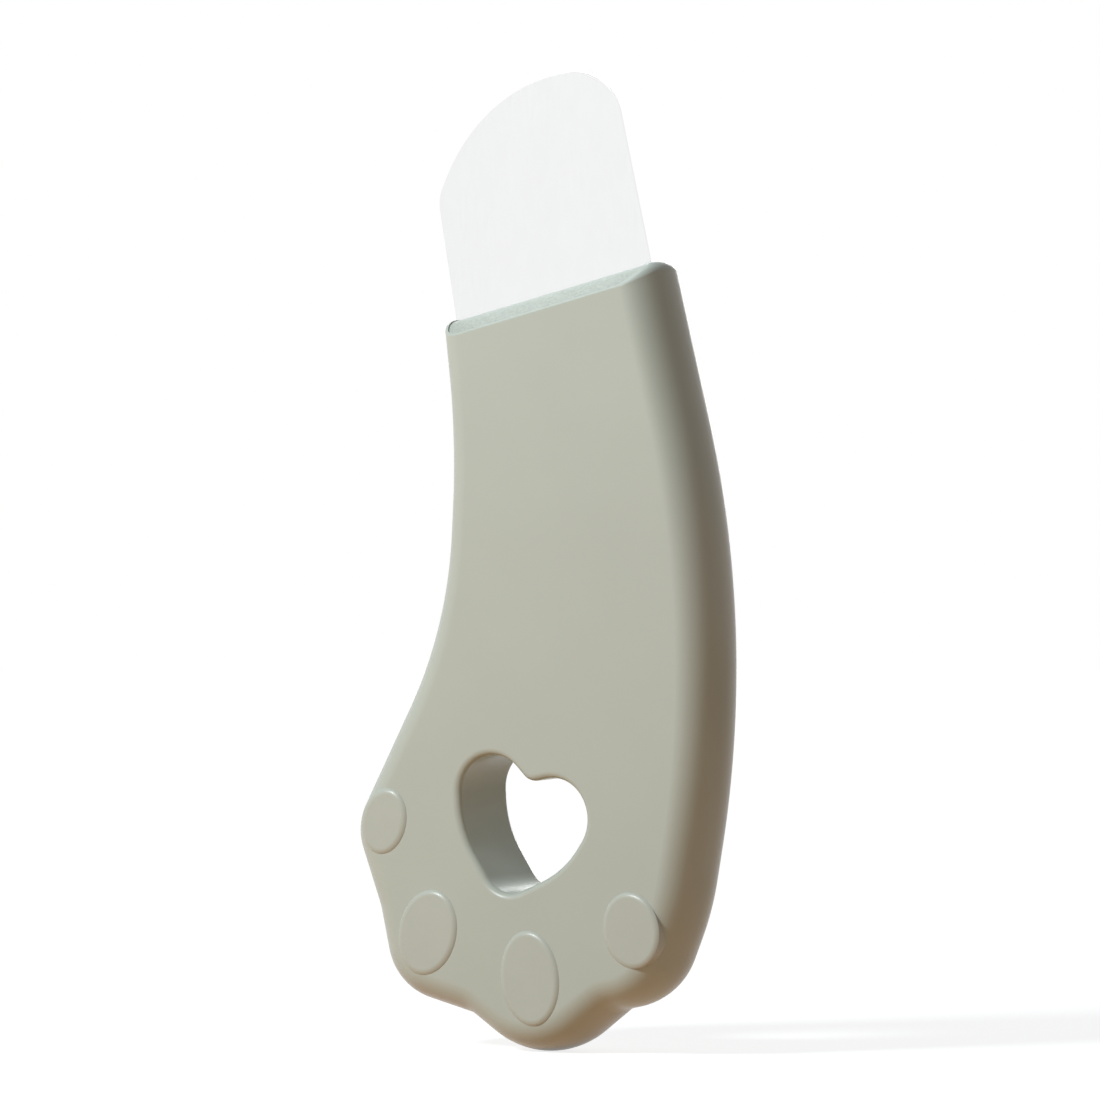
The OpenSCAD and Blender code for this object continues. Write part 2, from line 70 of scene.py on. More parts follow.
# Circles [x, z, radius] of the handle's outline, from the left of the mouth round the toes to its
# right, then over the end that the mouth cuts away. A radius below zero is a hollow.
PAW = [
    (-131.7, 88.4, -116.5), (-78, 81.3, -62.5), (-23, 32.5, 9), (-31.5, 19.8, -3.4), (-17.4, 16.4, 9.6),
    (-13.4, 1.1, -4.3), (0.3, 14, 14), (15.9, 2.7, -4.4), (13.8, 18.6, 11.6), (-14.3, 34.3, 43.6),
    (-117.8, 58.7, 149.8), (10.9, 124.5, 8.6), (-10, 124.3, 8.6),
]
WRIST = 1  # the hollow that the charging port lies in
ROUND = 24  # rows of a quarter turn round the handle's side
HOLE_FOOT = 5.2  # Y that the walls of the back face's holes run down to
GAP = 0.05  # clearance round the caps, the light guide's pins and the port cover

# The heart-shaped opening: its middle, how it is turned, and its circles before it is turned
HEART_AT, HEART_TURN = (-1.1, 34.7), math.radians(-16)
HEART = [(0, -5.7, 5.1), (-3.6, 4.6, 15.3), (5.6, 2.75, 6), (0, 9.5, -2.6), (-5.6, 2.75, 6), (3.6, 4.6, 15.3)]

# Each pad is (x, z, half length, half width, lean to the right in degrees)
PADS = [
    (-25, 34.1, 5.1, 3.9, 18), (-17.2, 17.6, 6.6, 5.1, 19),
    (1.2, 11.4, 7.2, 5.2, -7), (19.4, 19.4, 5.8, 5, -14),
]
PAD_FOOT = -3.6  # Y of the pads' hidden foot

# The mouth: middle and slope of its end face's ridge
MOUTH = np.array([1.0, 115.0])
SLOPE = math.radians(16.4)
MOUTH_ALONG = np.array([math.cos(SLOPE), math.sin(SLOPE)])
MOUTH_UP = np.array([-math.sin(SLOPE), math.cos(SLOPE)])
DOME, DOME_HALF = 13.0, 3.5  # the end face falls by y * y / DOME up to DOME_HALF, then straight on
PLUG_DEPTH = 6.0
RIM_EXTRA = 1.6  # extra wall on the right of the mouth, under its rounded corner

# The blade before it leans, from the middle of the mouth: its circles, and its tang's half width, root,
# foot and holes
LEAN = math.radians(12.2)
BLADE = [(17.2, -2, 1), (9.8, 24.1, 7.8), (8.5, 2.0, 29.9), (-11.6, 15.02, 6), (-17.2, -2, 1)]
TANG = (10.0, -3.0, -27.0)
TANG_HOLES = [(-7.5, -11.5, 1.1), (7.5, -11.5, 1.1)]

# The back: middles (x, z) of the screws, the light guide's pins, and the charging port
SCREWS = [(-22.6, 33.4), (14.6, 19), (-7.5, 14.5), (22.6, 50), (19.4, 92.2), (-7.1, 90.1)]
CAP_RADIUS = 1.8
GUIDE_PITCH, PIN_RADIUS = 3.4, 0.8
PORT = (2.6, PAW[WRIST][1])  # middle of the charging port, as (y, z)
PORT_WIDTH, PORT_LENGTH = 3.9, 10.6
PORT_PATCH = (7.0, math.radians(46))  # what is left out round the port: its half height, and its top

# The photograph's view, in degrees and metres
VIEW_TURN, VIEW_LIFT = 33, 4.4
VIEW_MIDDLE, VIEW_WIDTH = (-0.00191, 0.00334, 0.07541), 0.1659


# Outlines and surfaces


def normal_angle(a, b):
    """Angle of the outward normal of the straight line that joins two circles."""
    return math.atan2(b[1] - a[1], b[0] - a[0]) - math.acos((a[2] - b[2]) / math.dist(a[:2], b[:2]))


def stations(circles, spacing, depth=0.0):
    """For each circle of a closed outline, its stations [x, z, radius, angle]."""
    parts = []
    for i, circle in enumerate(circles):
        start, sweep = 0.0, TAU
        if len(circles) > 1:
            start = normal_angle(circles[i - 1], circle)
            turn = normal_angle(circle, circles[(i + 1) % len(circles)]) - start
            sweep = turn - TAU * math.floor((turn + TAU / 3) / TAU)
        reach = max(abs(circle[2]), abs(circle[2] - depth))
        steps = max(2, math.ceil(abs(sweep) / math.radians(5)), math.ceil(abs(sweep) * reach / spacing))
        angles = start + sweep * np.linspace(0, 1, steps + 1)
        if len(circles) == 1:
            angles = angles[:-1]
        parts.append(np.column_stack([np.tile(circle, (len(angles), 1)), angles]))
    return parts


class Belt:
    """Outline that runs tangent round a chain of circles."""

    def __init__(self, parts):
        rows = np.concatenate(parts)
        self.centre, self.radius = rows[:, :2], rows[:, 2]
        self.out = np.column_stack([np.cos(rows[:, 3]), np.sin(rows[:, 3])])

    def at(self, inset=0.0):
        return self.centre + (self.radius - inset)[:, None] * self.out


class Oval:
    """Outline of a leaning oval pad."""

    def __init__(self, x, z, half_length, half_width, lean, points=72):
        self.middle, self.half = np.array([x, z]), (half_width, half_length)
        self.turn = TAU * np.arange(points) / points
        c, s = math.cos(math.radians(lean)), math.sin(math.radians(lean))
        self.frame = np.array([[c, -s], [s, c]])
        out = np.column_stack([np.cos(self.turn) / half_width, np.sin(self.turn) / half_length])
        self.out = (out / np.linalg.norm(out, axis=1)[:, None]) @ self.frame

    def at(self, inset=0.0):
        u = (self.half[0] - inset) * np.cos(self.turn)
        v = (self.half[1] - inset) * np.sin(self.turn)
        return self.middle + np.column_stack([u, v]) @ self.frame


def turned(circles, angle, at):
    """The circles turned about the origin and moved."""
    c, s = math.cos(angle), math.sin(angle)
    return [(at[0] + x * c - z * s, at[1] + x * s + z * c, r) for x, z, r in circles]


def key_circles(at, width, length):
    """Circles of a long round-ended key that stands along Z."""
    reach = (length - width) / 2
    return [(at[0], at[1] + reach, width / 2), (at[0], at[1] - reach, width / 2)]


def corner_circles(left, right, low, high, radius):
    """Circles of an upright rectangle with rounded corners."""
    left, right, low, high = left + radius, right - radius, low + radius, high - radius
    return [(right, low, radius), (right, high, radius), (left, high, radius), (left, low, radius)]


def joining_line(a, b):
    """Unit normal and offset of the straight line that joins two circles."""
    angle = normal_angle(a, b)
    normal = np.array([math.cos(angle), math.sin(angle)])
    return normal, float(normal @ a[:2]) + a[2]


LEFT = joining_line(PAW[-1], PAW[0])
RIGHT = joining_line(PAW[-3], PAW[-2])
# Flanks of the mouth: line, radius of the corner over it, extra wall, and growth of the rim's rounding
Flank = namedtuple("Flank", "line corner extra growth")
FLANKS = (Flank(RIGHT, 2.2, RIM_EXTRA, 0.45), Flank(LEFT, 0.8, 0.0, 0.0))


def drop(y):
    """Fall of the domed end face below its ridge, at distance y from the mid-plane."""
    y = np.abs(y)
    straight = DOME_HALF**2 / DOME + 2 * DOME_HALF / DOME * (y - DOME_HALF)
    return np.where(y < DOME_HALF, y * y / DOME, straight)


def end_normal(y):
    """Normal of the domed end face."""
    tilt = np.sign(y) * np.minimum(np.abs(y), DOME_HALF) * 2 / DOME
    normal = np.column_stack([np.full_like(tilt, MOUTH_UP[0]), tilt, np.full_like(tilt, MOUTH_UP[1])])
    return normal / np.linalg.norm(normal, axis=1)[:, None]


def at_mouth(side_line, inset, y, level):
    """Points of a straight flank drawn in by inset, at a level above the domed end face."""
    normal, offset = side_line
    along = np.array([-normal[1], normal[0]])
    inset, y, level = np.broadcast_arrays(inset, y, level)
    base = (offset - inset)[:, None] * normal
    reach = (MOUTH @ MOUTH_UP + level - drop(y) - base @ MOUTH_UP) / (along @ MOUTH_UP)
    return base + reach[:, None] * along


def drawn_in(inset, lift):
    """How far a body drawn in by inset lies inside the outline, at an angle up its rounded side."""
    return SIDE - (SIDE - inset) * np.cos(lift)


def side_normal(flat, lift, side=1):
    """Normal of the rounded side, from the outline's normal and the angle up the side."""
    out, up = np.cos(lift) / SIDE, side * np.sin(lift) / HALF
    return spread(flat * np.reshape(out, (-1, 1)), up) / np.reshape(np.hypot(out, up), (-1, 1))


def fall(depth, radius):
    """How far a surface rounds down at a depth inside the edge that it rounds into."""
    short = np.clip(radius - depth, 0, radius)
    return radius - np.sqrt(radius**2 - short**2)


def spread(xz, y):
    """Points in space from points of the X-Z plane and their Y."""
    return np.column_stack([xz[:, 0], np.broadcast_to(y, len(xz)), xz[:, 1]])


def rim_fall(flank, phi, inset, share, edge):
    """How far the rim rounds down: towards the flank's corner, and over the edge of the skin.
    The edge's rounding is widest half way round the side."""
    depth = drawn_in(inset, phi) + share * flank.extra
    across = inset + share * flank.extra * np.cos(phi)
    widening = np.where(phi < QUARTER / 2, np.sin(2 * phi) ** 2, 2 * np.cos(phi) ** 2)
    return fall(depth, flank.corner) + fall(across, edge + flank.growth * widening)


def section(side, inset, level, phis, share=0.0, edge=0.0):
    """Half of the handle's section by the mouth, from the right flank over the face to the left one.
    share is how much of the right flank's extra wall is counted in; with edge the end face is rounded."""
    y = side * (HALF - inset) * np.sin(phis)
    parts, normals = [], []
    for flank in FLANKS:
        depth = drawn_in(inset, phis) + share * flank.extra
        low = rim_fall(flank, phis, inset, share, edge) if edge else 0
        order = slice(None) if flank.line is RIGHT else slice(None, None, -1)
        parts.append(spread(at_mouth(flank.line, depth, y, level - low), y)[order])
        normals.append(side_normal(flank.line[0], phis, side)[order])
    return np.concatenate(parts), np.concatenate(normals)


def wrist_point(y, z, depth=0.0):
    """Point and outward normal of the handle's left side in the wrist's hollow, below its skin."""
    cx, cz, radius = PAW[WRIST]
    lift = np.arcsin(y / (HALF - depth))
    inset = drawn_in(depth, lift)
    s = (z - cz) / (radius - inset)
    c = -np.sqrt(1 - s * s)
    point = np.column_stack([cx + (radius - inset) * c, y, z])
    return point, side_normal(np.column_stack([c, s]), lift)


class Surface:
    """Patches of points with exact normals, in millimetres, made into one mesh."""

    def __init__(self):
        self.points, self.normals, self.faces, self.count = [], [], [], 0

    def add(self, points, normals):
        start = self.count
        self.points.append(np.asarray(points, float).reshape(-1, 3))
        self.normals.append(np.asarray(normals, float).reshape(-1, 3))
        self.count += len(self.points[-1])
        return start

    def grid(self, rows, normals, closed=False, keep=lambda i, j: True):
        """A patch of rows of points; closed joins each row's end to its start."""
        rows = np.asarray(rows)
        high, wide = rows.shape[:2]
        start = self.add(rows, normals)
        for i in range(high - 1):
            low, top = start + i * wide, start + (i + 1) * wide
            for j in range(wide - (not closed)):
                k = (j + 1) % wide
                if keep(i, j):
                    self.faces.append((low + j, low + k, top + k, top + j))

    def fill(self, loops, axes=(0, 2)):
        """Closes the area inside the first loop of (points, normals) and outside the others."""
        start = self.add(np.concatenate([p for p, _ in loops]), np.concatenate([n for _, n in loops]))
        flat = [[Vector((p[axes[0]], p[axes[1]], 0)) for p in points] for points, _ in loops]
        self.faces += [tuple(start + k for k in face) for face in tessellate_polygon(flat)]

    def edge(self, outline, side, top, radius, low, out=1, steps=6, reach=None):
        """Straight wall from low up to a rounded edge at top: out is 1 round a boss and -1 in a hole.
        The rounding is an arc, as deep as radius and reaching in by reach. Gives the loop round the face."""
        reach = reach or radius
        arc, slant = (reach**2 + radius**2) / (2 * radius), 2 * math.atan2(radius, reach)
        rows, normals = [spread(outline.at(), low)], [spread(out * outline.out, 0)]
        if slant < QUARTER:
            self.grid([rows[0], spread(outline.at(), top - side * radius)], [normals[0]] * 2, closed=True)
            rows, normals = [], []
        for turn in slant * np.linspace(1, 0, steps + 1):
            inset, below = out * (reach - arc * math.sin(turn)), arc * (1 - math.cos(turn))
            rows.append(spread(outline.at(inset), top - side * below))
            normals.append(spread(out * math.sin(turn) * outline.out, side * math.cos(turn)))
        self.grid(rows, normals, closed=True)
        return rows[-1], normals[-1]

    def make(self, name, material, slot, body, *nodes, bend=None):
        """Makes the piece, which rides on a body and stands for the named CAD nodes."""
        points, normals = np.concatenate(self.points), np.concatenate(self.normals)
        if bend:
            points, normals = bend(points), bend(points + normals) - bend(points)
        if not np.isfinite(points).all():
            raise RuntimeError(f"{name}: a point isn't a number")
        faces = []
        for face in self.faces:
            p = points[list(face)]
            turn = np.cross(p[1] - p[0], p[2] - p[0])
            if len(face) == 4:
                turn = np.cross(p[2] - p[0], p[3] - p[1])
            if np.linalg.norm(turn) < 1e-9:
                continue
            faces.append(face if turn @ normals[list(face)].sum(0) >= 0 else face[::-1])
        mesh = bpy.data.meshes.new(name)
        mesh.from_pydata((points / 1000).tolist(), [], faces, shade_flat=False)
        mesh.normals_split_custom_set_from_vertices(normals.tolist())
        mesh.materials.append(material)
        piece = bpy.data.objects.new(name, mesh)
        bpy.context.scene.collection.objects.link(piece)
        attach(piece, body)
        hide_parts(*nodes)
        return piece


# Colours and materials


def linear(code):
    """Linear RGB from an sRGB hex value."""
    channels = [int(code[i : i + 2], 16) / 255 for i in (1, 3, 5)]
    return [c / 12.92 if c <= 0.04045 else ((c + 0.055) / 1.055) ** 2.4 for c in channels]


def add(tree, kind, inputs=None, **settings):
    """Adds one node with its settings; an input is a value or the socket that feeds it."""
    made = tree.nodes.new(kind)
    for key, value in settings.items():
        setattr(made, key, value)
    for key, value in (inputs or {}).items():
        if isinstance(value, bpy.types.NodeSocket):
            tree.links.new(value, made.inputs[key])
        else:
            made.inputs[key].default_value = value
    return made


def finish(name, colour, shift, patch, rough, grain, relief, stretch=(1, 1, 1), **shader):
    """A surface finish: colour that shifts by a share in patches, and a grain that changes the roughness
    and stands out in relief. patch, grain and relief are in millimetres; shader goes to its own sockets."""
    material = bpy.data.materials.get(name)
    if material:
        return material
    material = bpy.data.materials.new(name)
    material.use_nodes = True
    tree = material.node_tree
    tree.nodes.clear()
    place = add(tree, "ShaderNodeTexCoord").outputs["Object"]
    laid = add(tree, "ShaderNodeMapping", {"Vector": place, "Scale": stretch}).outputs["Vector"]
    cloud = add(tree, "ShaderNodeTexNoise", {"Vector": laid, "Scale": 1000 / patch, "Detail": 3.0})
    grains = add(tree, "ShaderNodeTexNoise", {"Vector": laid, "Scale": 1000 / grain, "Detail": 2.0})
    fine = grains.outputs["Fac"]
    tone = add(tree, "ShaderNodeValToRGB", {"Fac": cloud.outputs["Fac"]})
    low, high = tone.color_ramp.elements
    low.position, high.position = 0.3, 0.7
    low.color = [c * (1 - shift) for c in colour[:3]] + [1]
    high.color = [min(1, c * (1 + shift)) for c in colour[:3]] + [1]
    span = {"From Min": 0.3, "From Max": 0.7, "To Min": rough[0], "To Max": rough[1]}
    dull = add(tree, "ShaderNodeMapRange", {"Value": fine, **span})
    bump = add(tree, "ShaderNodeBump", {"Height": fine, "Strength": 1.0, "Distance": relief / 1000})
    fed = {"Base Color": tone.outputs["Color"], "Roughness": dull.outputs["Result"]}
    look = add(tree, "ShaderNodeBsdfPrincipled", {**fed, "Normal": bump.outputs["Normal"], **shader})
    add(tree, "ShaderNodeOutputMaterial", {"Surface": look.outputs["BSDF"]})
    return material


def moulded_abs(colour):
    # Moulded ABS from a fine spark-eroded tool: an even satin skin with a very fine matt grain.
    # The real grain is about 0.03 mm; it is drawn at 0.35 mm so that it shows.
    gloss = {"Specular IOR Level": 0.3}
    return finish("moulded_abs_satin", colour, 0.015, 18, (0.28, 0.34), 0.35, 0.001, **gloss)


def button_abs(colour):
    # The same ABS with a duller finish for grip: the highlight on its dish is wider and weaker.
    # Its grain is drawn at 0.3 mm for the same reason.
    gloss = {"Specular IOR Level": 0.4}
    return finish("moulded_abs_button", colour, 0.02, 4, (0.46, 0.56), 0.3, 0.003, **gloss)


def silicone_pad(colour):
    # Moulded silicone: smooth, slightly waxy skin with a soft sheen where it turns away.
    # The real grain is about 0.02 mm; it is drawn at 0.3 mm so that it shows.
    gloss = {"Specular IOR Level": 0.35, "Sheen Weight": 0.03}
    return finish("moulded_silicone_pad", colour, 0.015, 8, (0.28, 0.36), 0.3, 0.001, **gloss)


def elastomer_plug(colour):
    # Moulded elastomer from a grit-blasted tool: a pale, sugary grain that breaks up the light.
    # It shows in the photograph at about 0.3 mm.
    return finish("moulded_elastomer_grained", colour, 0.12, 0.45, (0.45, 0.7), 0.32, 0.09)


def soft_cover(colour):
    # Moulded elastomer of the caps and the cover: the same family as the plug, with a flatter grain
    # that hardly breaks up the light, drawn at 0.3 mm so that it shows.
    return finish("moulded_elastomer_smooth", colour, 0.02, 3, (0.5, 0.6), 0.3, 0.004)


def stainless_sheet(colour):
    # Rolled and polished stainless sheet: a bright mirror softened by very faint lines along the blade,
    # drawn about 0.25 mm apart so that they show.
    along = (1, 1, 0.06)
    return finish(
        "polished_stainless_sheet", colour, 0.004, 6, (0.18, 0.22), 0.25, 0.0002, stretch=along, Metallic=1.0
    )


def frosted_acrylic(colour):
    # Moulded acrylic with a frosted face: milky, with a soft gloss and light that spreads under its skin.
    # Its frosting is drawn at 0.2 mm so that it shows.
    clear = {"Transmission Weight": 0.25, "IOR": 1.49}
    return finish("frosted_acrylic", colour, 0.03, 0.6, (0.3, 0.4), 0.2, 0.002, **clear)


# What the CAD nodes inside are made of: finish, hex colour, its look and the nodes. Grains finer than
# 0.2 mm are drawn at 0.2 mm or more, so that they show.
INNER = (
    # Glass-filled nylon: dark, dull, with the flow marks of its fibres.
    (
        "moulded_glass_filled_nylon", "#3A3D3F",
        dict(shift=0.2, patch=1.2, rough=(0.5, 0.7), grain=0.3, relief=0.01),
        ["blade_clamp_front", "blade_clamp_back"],
    ),
    # Die-cut silicone: even, matt and slightly dusty.
    (
        "die_cut_silicone", "#767B78",
        dict(shift=0.08, patch=1.5, rough=(0.6, 0.75), grain=0.3, relief=0.004),
        ["clamp_pads", "button_seal", "shell_seal"],
    ),
    # Zinc-plated steel: a cool grey metal with a cloudy plating.
    (
        "plated_steel", "#B8BABD",
        dict(shift=0.06, patch=0.8, rough=(0.25, 0.4), grain=0.2, relief=0.002, Metallic=1.0),
        ["clamp_screws", "board_screws", "shell_screws", "charge_socket"],
    ),
    # Silvered ceramic: warm dull silver, printed on in a thin even coat.
    (
        "silvered_ceramic", "#C7B98A",
        dict(shift=0.1, patch=1.0, rough=(0.35, 0.5), grain=0.2, relief=0.003, Metallic=0.8),
        ["piezo_disc_front", "piezo_disc_back"],
    ),
    # Solder-masked glass laminate: deep green lacquer over a faint weave.
    (
        "solder_masked_laminate", "#2F6B4A",
        dict(shift=0.15, patch=1.4, rough=(0.25, 0.35), grain=0.5, relief=0.006),
        ["circuit_board"],
    ),
    # Moulded epoxy: black, matt and finely pitted.
    (
        "moulded_epoxy", "#26282A",
        dict(shift=0.12, patch=0.8, rough=(0.5, 0.65), grain=0.2, relief=0.005),
        ["board_chips", "switch_plunger"],
    ),
    # Sintered ferrite: charcoal grey with fine light specks.
    (
        "sintered_ferrite", "#4A4C50",
        dict(shift=0.2, patch=0.5, rough=(0.55, 0.7), grain=0.2, relief=0.008),
        ["drive_coil", "switch_case"],
    ),
    # Clear epoxy over phosphor: glossy and warm cream.
    (
        "epoxy_over_phosphor", "#F1EBD2",
        dict(shift=0.05, patch=0.5, rough=(0.12, 0.2), grain=0.2, relief=0.001),
        ["status_leds"],
    ),
    # Laminated pouch foil: dull silver-blue with soft creases.
    (
        "laminated_pouch_foil", "#9AA3AB",
        dict(shift=0.08, patch=4.0, rough=(0.3, 0.45), grain=1.6, relief=0.05, Metallic=0.9),
        ["battery"],
    ),
    # Foam tape: black with open pores.
    (
        "foam_tape", "#2B2C2E",
        dict(shift=0.15, patch=1.0, rough=(0.8, 0.95), grain=0.3, relief=0.03),
        ["battery_tape"],
    ),
    # Extruded wire insulation: smooth and slightly glossy, in red and in blue.
    (
        "extruded_insulation_red", "#B33A33",
        dict(shift=0.06, patch=2.0, rough=(0.3, 0.4), grain=0.3, relief=0.002),
        ["battery_leads"],
    ),
    (
        "extruded_insulation_blue", "#2D2F80",
        dict(shift=0.06, patch=2.0, rough=(0.3, 0.4), grain=0.3, relief=0.002),
        ["piezo_leads"],
    ),
)


# Sizes and colours that a user would change


def length(name, description, millimetres, low, high):
    return bpy.props.FloatProperty(
        name=name, description=description, default=millimetres / 1000, min=low / 1000, max=high / 1000,
        unit="LENGTH", subtype="DISTANCE", precision=5,
    )


def colour(name, description, code):
    return bpy.props.FloatVectorProperty(
        name=name, description=description, default=linear(code), size=3, min=0, max=1, subtype="COLOR"
    )


class ExtractorSizes(bpy.types.PropertyGroup):
    rim_edge: length("Rim edge", "Rounding of the mouth's outer edge", 0.12, 0.1, 0.35)
    rim_wall: length("Rim width", "Wall of the handle round the end plug", 0.45, 0.4, 0.6)
    plug_sunk: length("Plug depth", "How far the end plug lies below the rim", 0.25, 0.1, 0.6)
    heart_edge: length("Heart edge", "Rounding of the finger opening's edges", 1.1, 0.8, 1.3)
    pad_height: length("Pad height", "How far the toe pads stand out", 0.4, 0.4, 0.8)
    pad_edge: length("Pad edge", "Depth of the rounding of the toe pads' edges", 0.38, 0.2, 0.4)
    pad_round: length("Pad rounding", "How far the rounding of the toe pads reaches in", 0.9, 0.6, 1.1)
    blade_sheet: length("Blade thickness", "Thickness of the blade's sheet", 0.4, 0.3, 0.6)
    blade_edge: length("Blade edge", "Rounding of the blade's edges", 0.1, 0.02, 0.15)
    button_width: length("Button width", "Width of the power button", 7.0, 6, 8)
    button_length: length("Button length", "Length of the power button", 11.0, 10, 13)
    button_edge: length("Button edge", "Rounding of the power button's edge", 0.5, 0.2, 0.8)
    button_dish: length("Button dish", "Depth of the dish in the power button", 0.3, 0, 0.5)
    hole_edge: length("Hole edge", "Rounding of the holes in the back face", 0.12, 0.05, 0.3)


class ExtractorColours(bpy.types.PropertyGroup):
    shell: colour("Shell", "Moulded ABS of both shells", "#B1B8AE")
    pad: colour("Pads", "Silicone of the toe pads", "#B1B7AD")
    plug: colour("Plug", "Elastomer of the end plug", "#ABB1A7")
    cover: colour("Caps and cover", "Elastomer of the screw caps and the port cover", "#A9ADA0")
    button: colour("Button", "ABS of the power button", "#AEB2A6")
    blade: colour("Blade", "Polished stainless steel", "#EFEFEF")
    guide: colour("Light guide", "Frosted acrylic of the light guide", "#E9ECEA")
    floor: colour("Floor", "Colour that the floor gives back to the handle", "#E0A973")


# Pieces


def sizes():
    """The scene's sizes, in millimetres."""
    group = bpy.context.scene.extractor_sizes
    return {key: getattr(group, key) * 1000 for key in ExtractorSizes.__annotations__}


def shell_half(side, back_holes):
    """Skin of one half of the handle, from the parting plane over its round side to its flat face."""
    size, surface = sizes(), Surface()
    parts = stations(PAW, 1.0, SIDE)[:-2]  # the last two circles lie above the mouth
    belt = Belt(parts)
    phis = QUARTER * np.linspace(0, 1, ROUND + 1)
    edge = size["rim_edge"]

    # Round side, with a patch left out for the charging port
    rows, normals = [], []
    for phi in phis:
        inset, y = drawn_in(0, phi), side * HALF * math.sin(phi)
        falls = [-rim_fall(flank, phi, 0, 0, edge) for flank in FLANKS]
        right, left = (at_mouth(f.line, np.array([inset]), y, level) for f, level in zip(FLANKS, falls))
        out = np.concatenate([[LEFT[0]], belt.out, [RIGHT[0]]])
        rows.append(spread(np.concatenate([left, belt.at(inset), right]), y))
        normals.append(side_normal(out, phi, side))
    rows, normals = np.array(rows), np.array(normals)
    port = np.zeros(rows.shape[1], bool)
    reach, top = PORT_PATCH
    top_row = int(np.searchsorted(phis, top))
    if back_holes:
        first = 1 + len(parts[0])
        wrist = np.arange(first, first + len(parts[WRIST]) - 1)
        near = np.abs(rows[0, :, 2] - PORT[1]) < reach
        port[wrist] = near[wrist] & near[wrist + 1]
    surface.grid(rows, normals, keep=lambda i, j: not (port[j] and i < top_row))
    if back_holes:
        port_opening(surface, rows, normals, np.flatnonzero(port), top_row)

    # Flat face with its openings
    face = np.array([0, side, 0.0])
    heart = Belt(stations(turned(HEART, HEART_TURN, HEART_AT), 0.5))
    loops = [(rows[-1], np.tile(face, (rows.shape[1], 1)))]
    loops.append(surface.edge(heart, side, side * HALF, size["heart_edge"], 0, out=-1))
    if back_holes:
        low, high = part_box("power_button")
        middle = ((low.x + high.x) * 500, (low.z + high.z) * 500)
        width, long = size["button_width"] + 4 * GAP, size["button_length"] + 4 * GAP
        holes = [stations(key_circles(middle, width, long), 0.5)]
        holes += [stations([(x, z, PIN_RADIUS + GAP)], 0.2) for x, z in guide_pins()]
        holes += [stations([(x, z, CAP_RADIUS + GAP)], 0.35) for x, z in SCREWS]
        hole_edge = size["hole_edge"]
        for hole in holes:
            loops.append(surface.edge(Belt(hole), side, side * HALF, hole_edge, side * HOLE_FOOT, out=-1))
    surface.fill(loops)

    # Rim of the mouth: from its rounded outer edge over the top to its inner wall
    wall, out = size["rim_wall"], section(side, 0, 0, phis)[1]
    shares = 1 - np.cos(QUARTER * np.linspace(0, 1, 25))  # closest together at the outer edge
    rows = np.array([section(side, s * wall, 0, phis, s, edge)[0] for s in shares])
    normals = np.cross(np.gradient(rows, axis=0), np.gradient(rows, axis=1))
    normals /= np.maximum(np.linalg.norm(normals, axis=2, keepdims=True), 1e-9)
    up = out + end_normal(rows[0, :, 1])
    normals *= np.sign((normals * up).sum(2, keepdims=True))
    normals[0] = out
    surface.grid(rows, normals)
    below_the_plug = section(side, wall, -2.0, phis, 1, edge)[0]
    surface.grid([rows[-1], below_the_plug], [-out, -out])
    return surface


def guide_pins():
    """Middles of the light guide's three pins, in millimetres."""
    low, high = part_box("light_guide")
    x, z = (low.x + high.x) * 500, (low.z + high.z) * 500
    return [(x + i * GUIDE_PITCH, z) for i in (-1, 0, 1)]


def port_outline(grow, spacing=0.35):
    """Outline of the port cover in the Y-Z plane, or of the opening that is larger all round."""
    return Belt(stations(key_circles(PORT, PORT_WIDTH + 2 * grow, PORT_LENGTH + 2 * grow), spacing))


def port_opening(surface, rows, normals, columns, top):
    """Fills the left-out patch round the charging port, and lines the opening down to the socket."""
    a, b = columns[0], columns[-1] + 1
    path = [(i, a) for i in range(top + 1)] + [(top, j) for j in range(a + 1, b + 1)]
    path += [(i, b) for i in range(top - 1, -1, -1)] + [(0, j) for j in range(b - 1, a, -1)]
    border = (np.array([rows[i, j] for i, j in path]), np.array([normals[i, j] for i, j in path]))
    outline, lip = port_outline(GAP), 0.15
    ring, ring_normals = [], []
    for lift in QUARTER * np.linspace(0, 1, 5):
        y, z = outline.at(-lip * (1 - math.cos(lift))).T
        points, out = wrist_point(y, z, lip * (1 - math.sin(lift)))
        inward = -np.column_stack([np.zeros(len(y)), outline.out])
        ring.append(points)
        ring_normals.append(math.cos(lift) * inward + math.sin(lift) * out)
    low, high = (1000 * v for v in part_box("charge_socket"))
    floor_x, clear = low.x, 0.1
    deep = ring[0].copy()
    deep[:, 0] = floor_x
    surface.grid([deep] + ring, [ring_normals[0]] + ring_normals, closed=True)
    surface.fill([border, (ring[-1], wrist_point(*outline.at(-lip).T)[1])], axes=(2, 1))
    left = np.tile([-1.0, 0, 0], (len(deep), 1))
    y0, y1, z0, z1 = low.y - clear, high.y + clear, low.z - clear, high.z + clear
    socket = np.array([[floor_x, y0, z0], [floor_x, y1, z0], [floor_x, y1, z1], [floor_x, y0, z1]])
    surface.fill([(deep, left), (socket, left[:4])], axes=(2, 1))


class EXTRACTOR_OT_front_shell(bpy.types.Operator):
    """Front half of the handle, with the heart opening and the front of the mouth's rim"""

    bl_idname = "extractor.front_shell"
    bl_label = "Front Shell"

    def execute(self, context):
        skin = moulded_abs(context.scene.extractor_colours.shell)
        shell_half(-1, False).make("front_shell_skin", skin, "shell", "handle", "front_shell")
        return {"FINISHED"}


class EXTRACTOR_OT_back_shell(bpy.types.Operator):
    """Back half of the handle, with the openings for the button, the lights, the screws and the port"""

    bl_idname = "extractor.back_shell"
    bl_label = "Back Shell"

    def execute(self, context):
        skin = moulded_abs(context.scene.extractor_colours.shell)
        shell_half(1, True).make("back_shell_skin", skin, "shell", "handle", "back_shell")
        return {"FINISHED"}


